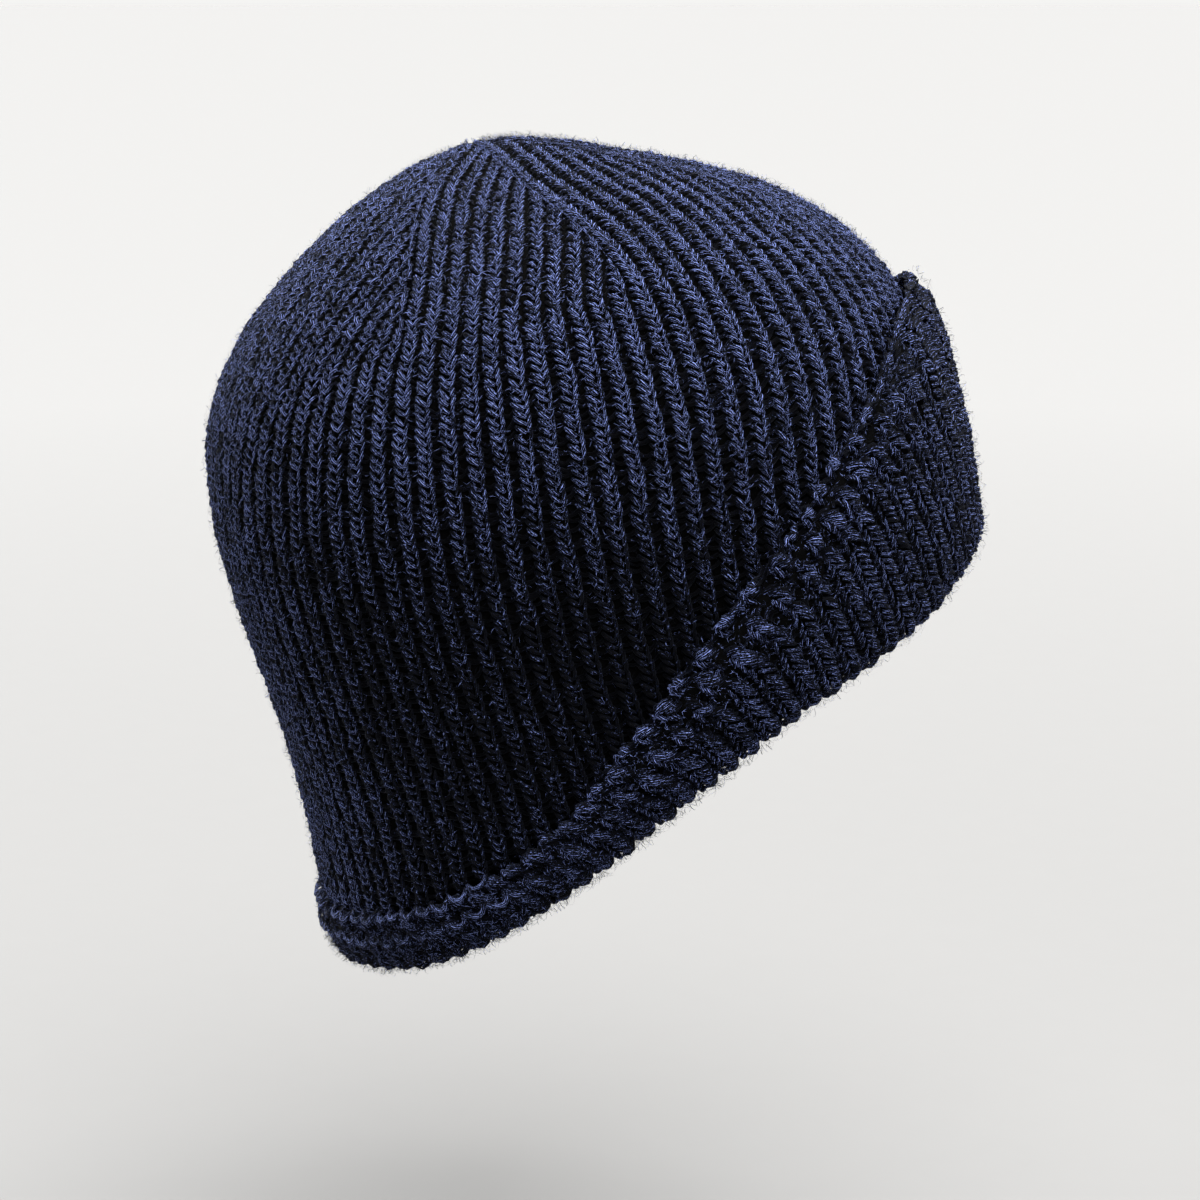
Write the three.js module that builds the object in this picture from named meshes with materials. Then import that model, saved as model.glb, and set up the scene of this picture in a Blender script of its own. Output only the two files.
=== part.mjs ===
// Deck hat: a ribbed, close-fitting knitted cap with a low nape and a turned-up lower band.
//
// Frame: millimetres, +Z up, the front of the hat faces -Y, and X = 0 is its plane of symmetry.
// The origin is the seat of the wearer's head, at the top of the hollow inside the crown.
// The hat keeps the form that a head gives it, and its hollow opens downwards.
//
// The hat is one knitted tube. Its ribs run down from the pole, turn outwards at the fold and run
// up again in the band. Two solids stand for it: the cap body from the pole to the fold, and the
// turn-up, which is the hooked band from the fold to its free edge.
import * as THREE from 'three';

// ---- Knit -------------------------------------------------------------------------------------
const WALL = 4.5; // thickness of the ribbed fabric, from the crest of a rib to the inside
const RIB_DEPTH = 1.8; // depth of the groove between two ribs
const JOINT_GAP = 0.5; // clearance between the two solids where the fabric runs through the fold
const RIB_RISE = 20; // rib length from the pole over which the grooves reach their depth
const WEDGES = 8; // wedges that the crown is decreased in
const RIBS_PER_WEDGE = 11;
const WEDGE_START = -107.2; // angle of the first wedge's edge, in degrees from the front
const DECREASE_LENGTH = 100; // rib length from the pole at which the last decreases begin
const DECREASE_EASE = 1.3; // how gently the last ribs of a wedge come in

const RIBS = WEDGES * RIBS_PER_WEDGE;
const WEDGE_ANGLE = (2 * Math.PI) / WEDGES;

// ---- Form of the cap body ---------------------------------------------------------------------
const HEAD_SEAT = new THREE.Vector3(0, 20, -0.8); // the origin, in the coordinates of the tables

// One row for each course of the knit, at a distance from the pole measured along a rib.
// backY, backZ, frontY, frontZ: where the course meets the plane of symmetry, on the rib crests
// halfWidth: half of the course's width; sideDrop: how far its sides sag below back and front
// square: how far it fills its corners; lead: how far the side ribs lead forward, in degrees
// twist: how far all its ribs have turned round the head, in degrees
const COURSE_COLUMNS = [
  'length', 'backY', 'backZ', 'frontY', 'frontZ', 'halfWidth', 'sideDrop', 'square', 'lead', 'twist',
];
const COURSES = [
  [0, 37.0, 2.5, 36.9, 2.5, 0.1, 0.0, 0.0, 0, -10.0],
  [12, 48.0, -1.5, 25.5, 4.2, 11.5, 0.5, 0.0, 0, -9.0],
  [26, 60.0, -8.0, 11.5, 3.6, 25.0, 1.5, 0.0, 0, -7.0],
  [44, 74.0, -18.4, -6.0, 1.0, 41.0, 3.0, 0.01, 0, -4.0],
  [67, 90.5, -35.2, -28.6, -3.2, 58.0, 4.5, 0.015, 0, -0.8],
  [90, 104.0, -53.4, -50.5, -9.8, 71.0, 6.0, 0.02, 0, -0.9],
  [115, 112.8, -77.0, -71.8, -22.5, 80.5, 6.0, 0.025, 0, -3.7],
  [142, 112.0, -104.0, -88.0, -42.5, 86.0, 5.0, 0.03, 0, -7.0],
  [170, 105.0, -131.0, -94.5, -70.0, 88.0, 4.0, 0.03, 0, -8.5],
  [200, 94.8, -160.0, -96.6, -100.0, 87.0, 4.0, 0.03, 1, -9.1],
  [230, 87.0, -189.0, -94.5, -130.0, 85.0, 4.0, 0.03, 5, -9.7],
  [260, 81.6, -218.5, -90.0, -160.0, 82.0, 4.0, 0.025, 9, -10.3],
  [290, 76.0, -248.0, -85.0, -190.0, 78.0, 4.0, 0.02, 13, -10.9],
];
const EGG = 0.04; // share by which the back of a course is wider than its front
const EVENNESS = 0.03; // turns the ribs towards front and back, to space them evenly

// ---- Form of the turn-up ----------------------------------------------------------------------
const BAND_TURN = -10; // twist of the ribs at the fold, in degrees

// One row for each angle from the front, in degrees; the two sides are alike.
// fold: rib length from the pole to the fold; width: length of the band along its ribs
// lean: share of the mirror angle at which the band's ribs leave the fold
// wall: thickness of the fabric in the fold, where the narrow nape is pressed thin
// tuck: how far the body is pressed in behind the band
// lowStand, midStand, edgeStand: how far the band's crests stand off the form of the body, at
// the fold, half way up and at the free edge
const BAND_COLUMNS = [
  'angle', 'fold', 'width', 'lean', 'wall', 'tuck', 'lowStand', 'midStand', 'edgeStand',
];
const BAND = [
  [0, 204.5, 69.5, 0.6, 4.5, 0.0, 14.3, 9.6, 6.3],
  [10, 205.5, 67.5, 0.6, 4.5, 0.0, 14.0, 9.6, 6.3],
  [20, 209.5, 59, 0.62, 4.5, 0.0, 13.0, 9.5, 6.3],
  [40, 218, 44, 0.7, 4.5, 0.0, 10.2, 9.2, 6.2],
  [60, 225, 29.5, 0.8, 4.5, 0.5, 8.2, 8.0, 6.0],
  [80, 236.5, 19, 0.9, 4.4, 1.0, 7.0, 7.0, 5.5],
  [100, 250.5, 13, 1.0, 4.2, 1.8, 5.2, 5.2, 4.2],
  [120, 262.5, 12, 1.0, 3.8, 2.6, 3.4, 3.4, 2.8],
  [135, 268, 12, 1.0, 3.5, 3.2, 1.8, 2.2, 1.7],
  [150, 269, 12, 1.0, 3.3, 3.6, 0.7, 1.2, 0.9],
  [180, 268, 11, 1.0, 3.2, 3.9, 0.2, 0.9, 0.6],
];
const TUCK_ABOVE = 5; // rib length over which the body comes back out above the band
const EDGE_ROUND = 1.6; // how far the rounded free edge runs past the end of its ribs

// ---- Facets -----------------------------------------------------------------------------------
const CROWN_ROWS = [4, 10, 18, 28, 40, 53, 67, 82, DECREASE_LENGTH]; // rib lengths of the outer rows
const SIDE_ROWS = 8; // outer rows from the last decrease to the fold
const INNER_CROWN_ROWS = [8, 24, 44, 68, DECREASE_LENGTH];
const INNER_SIDE_ROWS = 6;
const TUCK_ROWS = 2; // of these rows, the ones from the start of the tuck to the fold
const TUCK_REACH = 27; // longest rib length behind the band that these rows cover
const BEND_STEPS = 3; // facets round the outside of the fold
const BAND_STEPS = 4; // facets up the outside of the band
const INNER_BEND_STEPS = 2;
const INNER_BAND_STEPS = 3;

const radians = THREE.MathUtils.degToRad;

// Smooth reading of a table at a value of its first column. level: the curves end level.
function readTable(columns, rows, key, level = false) {
  const last = rows.length - 1;
  let low = 0;
  while (low < last - 1 && rows[low + 1][0] <= key) low += 1;
  const high = low + 1;
  const span = rows[high][0] - rows[low][0];
  const part = THREE.MathUtils.clamp((key - rows[low][0]) / span, 0, 1);
  const slope = (row, column) => {
    if (level && (row === 0 || row === last)) return 0;
    const before = Math.max(row - 1, 0);
    const after = Math.min(row + 1, last);
    return (rows[after][column] - rows[before][column]) / (rows[after][0] - rows[before][0]);
  };
  const values = {};
  columns.forEach((name, column) => {
    const start = rows[low][column];
    const rise = rows[high][column] - start;
    const startSlope = slope(low, column) * span;
    const endSlope = slope(high, column) * span;
    const bend = 3 * rise - 2 * startSlope - endSlope;
    const turn = startSlope + endSlope - 2 * rise;
    values[name] = start + part * (startSlope + part * (bend + part * turn));
  });
  return values;
}

// Angle from the front, 0 to 180 degrees, at which a rib reaches the fold.
function angleFromFront(angle) {
  const turned = THREE.MathUtils.radToDeg(angle) + BAND_TURN;
  return Math.abs(THREE.MathUtils.euclideanModulo(turned + 180, 360) - 180);
}

const bandAt = (angle) => readTable(BAND_COLUMNS, BAND, angleFromFront(angle), true);

// Point on the rib crests of the cap body, for a rib's angle and a rib length from the pole.
function bodyPoint(angle, length) {
  const course = readTable(COURSE_COLUMNS, COURSES, length);
  const around = angle + radians(course.twist);
  const even = around + EVENNESS * Math.sin(2 * around);
  const turned = even - radians(course.lead) * Math.sin(around);
  const corner = 1 + course.square * Math.sin(2 * turned) ** 2;
  const forward = Math.cos(turned) * corner;
  const sideways = Math.sin(turned) * corner;
  const middleY = (course.backY + course.frontY) / 2;
  const middleZ = (course.backZ + course.frontZ) / 2;
  return new THREE.Vector3(
    course.halfWidth * sideways * (1 - EGG * forward),
    middleY - ((course.backY - course.frontY) / 2) * forward,
    middleZ + ((course.frontZ - course.backZ) / 2) * forward - course.sideDrop * sideways ** 2,
  );
}

// Tangents round the course and down the rib, and the outward normal, at a point of the body.
function bodyFrame(angle, length) {
  const turn = 1e-3;
  const step = 0.05;
  const around = bodyPoint(angle + turn, length).sub(bodyPoint(angle - turn, length));
  const down = bodyPoint(angle, length + step).sub(bodyPoint(angle, length - step));
  around.divideScalar(2 * turn);
  down.divideScalar(2 * step);
  const normal = new THREE.Vector3().crossVectors(down, around).normalize();
  return { around, down, normal };
}

const bodyOffset = (angle, length, stand) =>
  bodyPoint(angle, length).addScaledVector(bodyFrame(angle, length).normal, stand);

// How far the body is pressed in, and how thick it is, behind the band and just above it.
function pressedBody(angle, length) {
  const { fold, width, wall, tuck } = bandAt(angle);
  const above = fold - width - EDGE_ROUND - length;
  const pressed = 1 - THREE.MathUtils.smoothstep(above, 0, TUCK_ABOVE);
  return { tuck: tuck * pressed, wall: THREE.MathUtils.lerp(WALL, wall, pressed) };
}

// Direction in which a rib leaves the fold: mirrored in the fold line, as folded cloth is.
// The result is given as steps of angle and rib length for each millimetre along the band.
function bandDirection(angle) {
  const turn = 1e-3;
  const { fold, lean } = bandAt(angle);
  const { around, down, normal } = bodyFrame(angle, fold);
  const foldLine = bodyPoint(angle + turn, bandAt(angle + turn).fold);
  foldLine.sub(bodyPoint(angle - turn, bandAt(angle - turn).fold)).normalize();
  const rib = down.clone().normalize();
  const upwards = foldLine.clone().multiplyScalar(2 * lean * rib.dot(foldLine)).sub(rib);
  upwards.normalize();
  const squareA = around.lengthSq();
  const squareD = down.lengthSq();
  const mixed = around.dot(down);
  const alongA = around.dot(upwards);
  const alongD = down.dot(upwards);
  const determinant = squareA * squareD - mixed * mixed;
  const angleStep = (alongA * squareD - alongD * mixed) / determinant;
  const lengthStep = (alongD * squareA - alongA * mixed) / determinant;
  const outwards = new THREE.Vector3().crossVectors(foldLine, normal).normalize();
  if (outwards.dot(rib) < 0) outwards.negate();
  return { fold, angleStep, lengthStep, outwards, normal };
}

// Point in the bend of the fold. sweep runs from 0, under the body, to PI, at the band's foot;
// depth runs from 0, on the crests of the outer face, to 1, on the inner face.
function bendPoint(angle, sweep, depth, groove = 0) {
  const { fold, outwards, normal } = bandDirection(angle);
  const { wall, tuck, lowStand } = bandAt(angle);
  const slack = lowStand + tuck - wall;
  const radius = wall * (1 - depth) + slack / 2 - groove;
  const centre = bodyPoint(angle, fold).addScaledVector(normal, slack / 2 - tuck);
  centre.addScaledVector(normal, -radius * Math.cos(sweep));
  return centre.addScaledVector(outwards, radius * Math.sin(sweep));
}

// Point on the band, at a share of its width from the fold and a depth as in the bend.
function bandPoint(angle, share, depth, groove = 0) {
  const { fold, angleStep, lengthStep } = bandDirection(angle);
  const { width, wall, lowStand, midStand, edgeStand } = bandAt(angle);
  const rounded = share === 1 ? 4 * depth * (1 - depth) * EDGE_ROUND : 0;
  const along = width * share + rounded;
  const low = 2 * (share - 0.5) * (share - 1) * lowStand;
  const middle = 4 * share * (1 - share) * midStand;
  const edge = 2 * share * (share - 0.5) * edgeStand;
  const stand = low + middle + edge - wall * depth - groove;
  return bodyOffset(angle + angleStep * along, fold + lengthStep * along, stand);
}

// Angle of a rib line at a rib length. A wedge is one rib wide at the pole and opens to all its
// ribs by the last decrease. Its ribs spread from its first edge, and those that have not come in
// yet lie on its second edge. ribs counts from the first edge, so that whole numbers are grooves
// and halves are crests.
function ribLine(wedge, ribs, length) {
  const share = 1 - (1 - Math.min(length / DECREASE_LENGTH, 1)) ** DECREASE_EASE;
  const open = Math.max(RIBS_PER_WEDGE * share, 1);
  const across = Math.min(ribs / open, 1);
  const angle = radians(WEDGE_START) + WEDGE_ANGLE * (wedge + across);
  return { angle, grooved: Number.isInteger(ribs) || across === 1 };
}

// Columns of facets round the hat, as the wedge and the rib count in it of each column.
function columns(perRib) {
  const list = [];
  for (let index = 0; index < RIBS * perRib; index += 1) {
    const ribs = index / perRib;
    const wedge = Math.floor(ribs / RIBS_PER_WEDGE);
    list.push({ wedge, ribs: ribs - wedge * RIBS_PER_WEDGE });
  }
  return list;
}

const RIBBED = columns(2); // a groove and a crest for each rib
const PLAIN = columns(1); // one column for each rib

// Closed surface from rings of points. Two rings in a row may differ in their number of columns
// by a factor of two. Points that coincide become one, and facets that vanish are left out.
function closedSurface(rings) {
  const positions = [];
  const known = new Map();
  const indexOf = (point) => {
    const key = point.toArray().map((value) => value.toFixed(3)).join(' ');
    if (!known.has(key)) {
      known.set(key, positions.length / 3);
      positions.push(point.x, point.y, point.z);
    }
    return known.get(key);
  };
  const faces = [];
  const addFace = (a, b, c) => {
    if (a !== b && b !== c && c !== a) faces.push(a, b, c);
  };
  const rows = rings.map((ring) => ring.map(indexOf));
  rows.forEach((upper, row) => {
    if (row + 1 === rows.length) return;
    const lower = rows[row + 1];
    const steps = Math.max(upper.length, lower.length);
    const pick = (ring, step) => ring[Math.floor((step * ring.length) / steps) % ring.length];
    for (let step = 0; step < steps; step += 1) {
      const [a, b] = [pick(upper, step), pick(upper, step + 1)];
      const [c, d] = [pick(lower, step), pick(lower, step + 1)];
      addFace(a, c, d);
      addFace(a, d, b);
    }
  });
  const geometry = new THREE.BufferGeometry();
  geometry.setAttribute('position', new THREE.Float32BufferAttribute(positions, 3));
  geometry.setIndex(faces);
  geometry.computeVertexNormals();
  return geometry;
}

// Rib length of a row between the last decrease and the fold. The last rows follow the tuck.
function sideLength(angle, row, rows) {
  const { fold, width } = bandAt(angle);
  const end = fold - JOINT_GAP;
  const pressed = end - Math.min(width + EDGE_ROUND, TUCK_REACH);
  const start = pressed - TUCK_ABOVE;
  const free = rows - TUCK_ROWS;
  if (row <= free) return DECREASE_LENGTH + ((start - DECREASE_LENGTH) * row) / free;
  return row === rows ? end : pressed;
}

// ---- Cap body: crown and sides, from the pole to the fold ---------------------------------------
function capBody() {
  const outer = (lengthAt) => RIBBED.map(({ wedge, ribs }) => {
    const line = ribLine(wedge, ribs, lengthAt(0));
    const length = lengthAt(line.angle);
    const groove = line.grooved ? RIB_DEPTH * Math.min(length / RIB_RISE, 1) : 0;
    return bodyOffset(line.angle, length, -groove - pressedBody(line.angle, length).tuck);
  });
  const inner = (lengthAt) => PLAIN.map(({ wedge, ribs }) => {
    const { angle } = ribLine(wedge, ribs + 0.5, lengthAt(0));
    const length = lengthAt(angle);
    const { tuck, wall } = pressedBody(angle, length);
    return bodyOffset(angle, length, -wall - tuck);
  });
  const rings = [[bodyPoint(0, 0)]];
  CROWN_ROWS.forEach((length) => rings.push(outer(() => length)));
  for (let row = 1; row <= SIDE_ROWS; row += 1) {
    rings.push(outer((angle) => sideLength(angle, row, SIDE_ROWS)));
  }
  for (let row = INNER_SIDE_ROWS; row >= 1; row -= 1) {
    rings.push(inner((angle) => sideLength(angle, row, INNER_SIDE_ROWS)));
  }
  INNER_CROWN_ROWS.toReversed().forEach((length) => rings.push(inner(() => length)));
  rings.push([bodyPoint(0, 0).setZ(bodyPoint(0, 0).z - WALL)]);
  return closedSurface(rings);
}

// ---- Turn-up: the hooked band, from the fold to its free edge ----------------------------------
function turnUp() {
  const ribbed = (place) => RIBBED.map(({ wedge, ribs }) => {
    const { angle, grooved } = ribLine(wedge, ribs, DECREASE_LENGTH);
    return place(angle, grooved ? RIB_DEPTH : 0);
  });
  const plain = (place) => PLAIN.map(({ wedge, ribs }) => {
    const { angle } = ribLine(wedge, ribs + 0.5, DECREASE_LENGTH);
    return place(angle);
  });
  const rings = [];
  for (let step = 0; step <= INNER_BEND_STEPS; step += 1) {
    rings.push(plain((angle) => bendPoint(angle, (Math.PI * step) / INNER_BEND_STEPS, 1)));
  }
  for (let step = 1; step <= INNER_BAND_STEPS; step += 1) {
    rings.push(plain((angle) => bandPoint(angle, step / INNER_BAND_STEPS, 1)));
  }
  rings.push(plain((angle) => bandPoint(angle, 1, 0.5)));
  for (let step = BAND_STEPS; step >= 1; step -= 1) {
    rings.push(ribbed((angle, groove) => bandPoint(angle, step / BAND_STEPS, 0, groove)));
  }
  for (let step = BEND_STEPS; step >= 0; step -= 1) {
    const sweep = (Math.PI * step) / BEND_STEPS;
    rings.push(ribbed((angle, groove) => bendPoint(angle, sweep, 0, groove)));
  }
  rings.push(rings[0]);
  return closedSurface(rings);
}

const navyWool = { color: 0x171c2e, roughness: 0.95, metalness: 0 };

function namedMesh(name, geometry) {
  const mesh = new THREE.Mesh(geometry, new THREE.MeshStandardMaterial(navyWool));
  mesh.name = name;
  return mesh;
}

const hat = new THREE.Group();
hat.position.copy(HEAD_SEAT).negate();
hat.add(namedMesh('cap_body', capBody()));
hat.add(namedMesh('turn_up', turnUp()));

export default hat;
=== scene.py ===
"""Deck hat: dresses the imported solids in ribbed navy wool, stitch by stitch.

The form is worked out in millimetres with +Z up and the front towards -Y, by the same named sizes
and tables as the part's source. It is moved to the row frame, in metres, when meshes are made.
"""

import math
from collections import namedtuple
from dataclasses import dataclass

import bpy
import numpy as np
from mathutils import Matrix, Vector


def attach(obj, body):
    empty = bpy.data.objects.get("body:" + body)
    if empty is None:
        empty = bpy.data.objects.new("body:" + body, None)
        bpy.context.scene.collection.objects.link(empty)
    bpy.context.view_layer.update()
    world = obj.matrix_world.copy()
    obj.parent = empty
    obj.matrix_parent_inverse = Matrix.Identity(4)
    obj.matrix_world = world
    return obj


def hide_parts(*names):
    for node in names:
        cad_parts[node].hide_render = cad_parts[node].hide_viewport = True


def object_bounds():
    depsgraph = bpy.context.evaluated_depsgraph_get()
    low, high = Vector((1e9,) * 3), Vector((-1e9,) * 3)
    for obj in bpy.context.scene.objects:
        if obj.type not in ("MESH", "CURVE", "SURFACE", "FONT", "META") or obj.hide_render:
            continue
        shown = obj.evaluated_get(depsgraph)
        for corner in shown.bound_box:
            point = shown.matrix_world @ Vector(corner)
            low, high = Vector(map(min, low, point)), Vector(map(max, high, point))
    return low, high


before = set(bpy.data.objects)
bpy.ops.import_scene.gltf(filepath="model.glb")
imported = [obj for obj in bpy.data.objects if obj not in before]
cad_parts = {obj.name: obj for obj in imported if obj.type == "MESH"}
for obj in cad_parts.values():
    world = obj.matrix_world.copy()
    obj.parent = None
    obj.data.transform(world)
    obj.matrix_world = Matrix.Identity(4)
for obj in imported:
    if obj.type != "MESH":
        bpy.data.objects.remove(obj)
CAD_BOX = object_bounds()

SEED = 11
HEAD_SEAT = np.array([0.0, 20.0, -0.8])  # the origin, in the coordinates of the tables

# ---- Form of the hat, as in the part's source ----
WEDGES = 8  # wedges that the crown is decreased in
RIBS_PER_WEDGE = 11
RIBS = WEDGES * RIBS_PER_WEDGE
WEDGE_START = -107.2  # angle of the first wedge's edge, in degrees from the front
DECREASE_LENGTH = 100.0  # rib length from the pole at which the last decreases begin
DECREASE_EASE = 1.3  # how gently the last ribs of a wedge come in
BAND_TURN = -10.0  # twist of the ribs at the fold, in degrees
EGG = 0.04  # share by which the back of a course is wider than its front
EVENNESS = 0.03  # turns the ribs towards front and back, to space them evenly
WALL = 4.5  # thickness of the fabric
JOINT_GAP = 0.5  # clearance to the fold at the lower end of the body
TUCK_ABOVE = 5.0  # rib length over which the body comes back out above the band
EDGE_ROUND = 1.6  # how far the rounded free edge runs past the end of its ribs

# One row for each course of the knit, at a rib length from the pole: where it meets the plane of
# symmetry, half its width, how far its sides sag and it fills its corners, and how far its side
# ribs lead forward and all its ribs have turned, in degrees.
# length, back_y, back_z, front_y, front_z, half_width, side_drop, square, lead, twist
COURSES = [
    [0, 37, 2.5, 36.9, 2.5, 0.1, 0, 0, 0, -10],
    [12, 48, -1.5, 25.5, 4.2, 11.5, 0.5, 0, 0, -9],
    [26, 60, -8, 11.5, 3.6, 25, 1.5, 0, 0, -7],
    [44, 74, -18.4, -6, 1, 41, 3, 0.01, 0, -4],
    [67, 90.5, -35.2, -28.6, -3.2, 58, 4.5, 0.015, 0, -0.8],
    [90, 104, -53.4, -50.5, -9.8, 71, 6, 0.02, 0, -0.9],
    [115, 112.8, -77, -71.8, -22.5, 80.5, 6, 0.025, 0, -3.7],
    [142, 112, -104, -88, -42.5, 86, 5, 0.03, 0, -7],
    [170, 105, -131, -94.5, -70, 88, 4, 0.03, 0, -8.5],
    [200, 94.8, -160, -96.6, -100, 87, 4, 0.03, 1, -9.1],
    [230, 87, -189, -94.5, -130, 85, 4, 0.03, 5, -9.7],
    [260, 81.6, -218.5, -90, -160, 82, 4, 0.025, 9, -10.3],
    [290, 76, -248, -85, -190, 78, 4, 0.02, 13, -10.9],
]
# One row for each angle from the front, in degrees: the rib length from the pole to the fold, the
# length of the band along its ribs, the share of the mirror angle at which they leave the fold,
# the wall in the fold, how far the body is pressed in behind it, and how far the band's crests
# stand off the body's form at the fold, half way up and at the free edge.
BAND = [
    [0, 204.5, 69.5, 0.6, 4.5, 0, 14.3, 9.6, 6.3],
    [10, 205.5, 67.5, 0.6, 4.5, 0, 14, 9.6, 6.3],
    [20, 209.5, 59, 0.62, 4.5, 0, 13, 9.5, 6.3],
    [40, 218, 44, 0.7, 4.5, 0, 10.2, 9.2, 6.2],
    [60, 225, 29.5, 0.8, 4.5, 0.5, 8.2, 8, 6],
    [80, 236.5, 19, 0.9, 4.4, 1, 7, 7, 5.5],
    [100, 250.5, 13, 1, 4.2, 1.8, 5.2, 5.2, 4.2],
    [120, 262.5, 12, 1, 3.8, 2.6, 3.4, 3.4, 2.8],
    [135, 268, 12, 1, 3.5, 3.2, 1.8, 2.2, 1.7],
    [150, 269, 12, 1, 3.3, 3.6, 0.7, 1.2, 0.9],
    [180, 268, 11, 1, 3.2, 3.9, 0.2, 0.9, 0.6],
]

BandSizes = namedtuple("BandSizes", "fold width lean wall tuck low_stand mid_stand edge_stand")
PRESSED = (-2.5, 1.0)  # distances above the band between which its edge presses the body in

# ---- The knit ----
ROW = 2.35  # height of a knitted row
BAND_ROW = 1.6  # height of a row in the band, which is less stretched
FACE_WIDTH = 4.2  # widest that the two legs of a stitch spread
BAND_FACE = 5.8  # the same in the band
GROOVE = 2.0  # least width of a rib that they leave free
BAND_GROOVE = 0.85  # the same in the band
LEAST_FACE = 0.4  # least share of a rib that they cover
BAND_SPREAD = 0.3  # share by which the band's stitches widen where its ribs are pulled apart
DIP = 0.35  # how light a stitch is where it starts, as painted shade at the side of its rib
BAND_DIP = 0.8  # the same in the band
NEAREST_POLE = 0.4  # shortest rib length that a stitch reaches
RIB_WIDTH = 6.5  # usual width of a rib, to measure irregularities across ribs by
UV_SPREAD = 90.0  # length of yarn over which the stitches pick their piece


def columns_of(rows, key, level=False):
    """Columns of a table, read smoothly at values of its first one. level flattens its ends."""
    table = np.array(rows, float)
    keys, values = table[:, 0], table[:, 1:]
    slopes = np.zeros_like(values)
    slopes[1:-1] = (values[2:] - values[:-2]) / (keys[2:] - keys[:-2])[:, None]
    if not level:
        ends, inner = [0, -1], [1, -2]
        slopes[ends] = (values[inner] - values[ends]) / (keys[inner] - keys[ends])[:, None]
    low = np.clip(np.searchsorted(keys, key, side="right") - 1, 0, len(keys) - 2)
    span = (keys[low + 1] - keys[low])[..., None]
    part = np.clip((key - keys[low])[..., None] / span, 0, 1)
    rise = values[low + 1] - values[low]
    start, end = slopes[low] * span, slopes[low + 1] * span
    bend = 3 * rise - 2 * start - end
    turn = start + end - 2 * rise
    return np.moveaxis(values[low] + part * (start + part * (bend + part * turn)), -1, 0)


def smoothstep(x, low, high):
    part = np.clip((x - low) / (high - low), 0, 1)
    return part * part * (3 - 2 * part)


def unit(vectors):
    return vectors / np.maximum(np.linalg.norm(vectors, axis=-1, keepdims=True), 1e-9)


def dot(a, b):
    return (a * b).sum(-1, keepdims=True)


def from_front(angle):
    """Angle from the front at which a rib reaches the fold, in degrees, negative on one side."""
    return np.degrees((angle + math.radians(BAND_TURN) + np.pi) % (2 * np.pi) - np.pi)


def band_at(angle):
    """Sizes of the band where a rib reaches the fold."""
    return BandSizes(*columns_of(BAND, np.abs(from_front(angle)), level=True))


def body_point(angle, length):
    """Point on the rib crests of the body, for a rib's angle and a rib length from the pole."""
    course = columns_of(COURSES, length)
    back_y, back_z, front_y, front_z, half_width, side_drop, square, lead, twist = course
    around = angle + np.radians(twist)
    turned = around + EVENNESS * np.sin(2 * around) - np.radians(lead) * np.sin(around)
    corner = 1 + square * np.sin(2 * turned) ** 2
    forward, sideways = np.cos(turned) * corner, np.sin(turned) * corner
    x = half_width * sideways * (1 - EGG * forward)
    y = (back_y + front_y) / 2 - (back_y - front_y) / 2 * forward
    z = (back_z + front_z) / 2 + (front_z - back_z) / 2 * forward - side_drop * sideways**2
    return np.stack([x, y, z], -1)


def tangents(surface, angle, along):
    """Tangents of a surface by angle and by length along the ribs."""
    turn, step = 1e-3, 0.05
    around = (surface(angle + turn, along) - surface(angle - turn, along)) / (2 * turn)
    down = (surface(angle, along + step) - surface(angle, along - step)) / (2 * step)
    return around, down


def body_normal(angle, length):
    """Outward normal of the body's form."""
    around, down = tangents(body_point, angle, length)
    return unit(np.cross(down, around))


def above_band(angle, length):
    """Distance along a rib from a point of the body down to the free edge of the band."""
    band = band_at(angle)
    return band.fold - band.width - EDGE_ROUND - length


def pressed_body(angle, length):
    """How far the body is pressed in, and how thick it is, behind the band and just above it."""
    band = band_at(angle)
    pressed = 1 - smoothstep(above_band(angle, length), 0, TUCK_ABOVE)
    return band.tuck * pressed, WALL + (band.wall - WALL) * pressed


def band_direction(angle):
    """How a rib leaves the fold: steps of angle and length a millimetre, and two directions."""
    turn = 1e-3
    band = band_at(angle)
    around, down = tangents(body_point, angle, band.fold)
    normal = unit(np.cross(down, around))
    ahead = body_point(angle + turn, band_at(angle + turn).fold)
    behind = body_point(angle - turn, band_at(angle - turn).fold)
    fold_line = unit(ahead - behind)
    rib = unit(down)
    upwards = unit(2 * band.lean[..., None] * dot(rib, fold_line) * fold_line - rib)
    square_a, square_d = dot(around, around)[..., 0], dot(down, down)[..., 0]
    mixed = dot(around, down)[..., 0]
    along_a, along_d = dot(around, upwards)[..., 0], dot(down, upwards)[..., 0]
    determinant = square_a * square_d - mixed * mixed
    angle_step = (along_a * square_d - along_d * mixed) / determinant
    length_step = (along_d * square_a - along_a * mixed) / determinant
    outwards = unit(np.cross(fold_line, normal))
    outwards = np.where(dot(outwards, rib) < 0, -outwards, outwards)
    return angle_step, length_step, outwards, normal


def bend_point(angle, sweep, depth, sunk=0.0):
    """Point in the bend of the fold.

    sweep runs from 0, under the body, to pi, at the band's foot, and depth from 0, on the crests
    of the outer face, to 1, on the inner face.
    """
    band = band_at(angle)
    _, _, outwards, normal = band_direction(angle)
    slack = band.low_stand + band.tuck - band.wall
    radius = (band.wall * (1 - depth) + slack / 2 - sunk)[..., None]
    centre = body_point(angle, band.fold) + normal * (slack / 2 - band.tuck)[..., None]
    sweep = np.asarray(sweep)[..., None]
    return centre - normal * radius * np.cos(sweep) + outwards * radius * np.sin(sweep)


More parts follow.
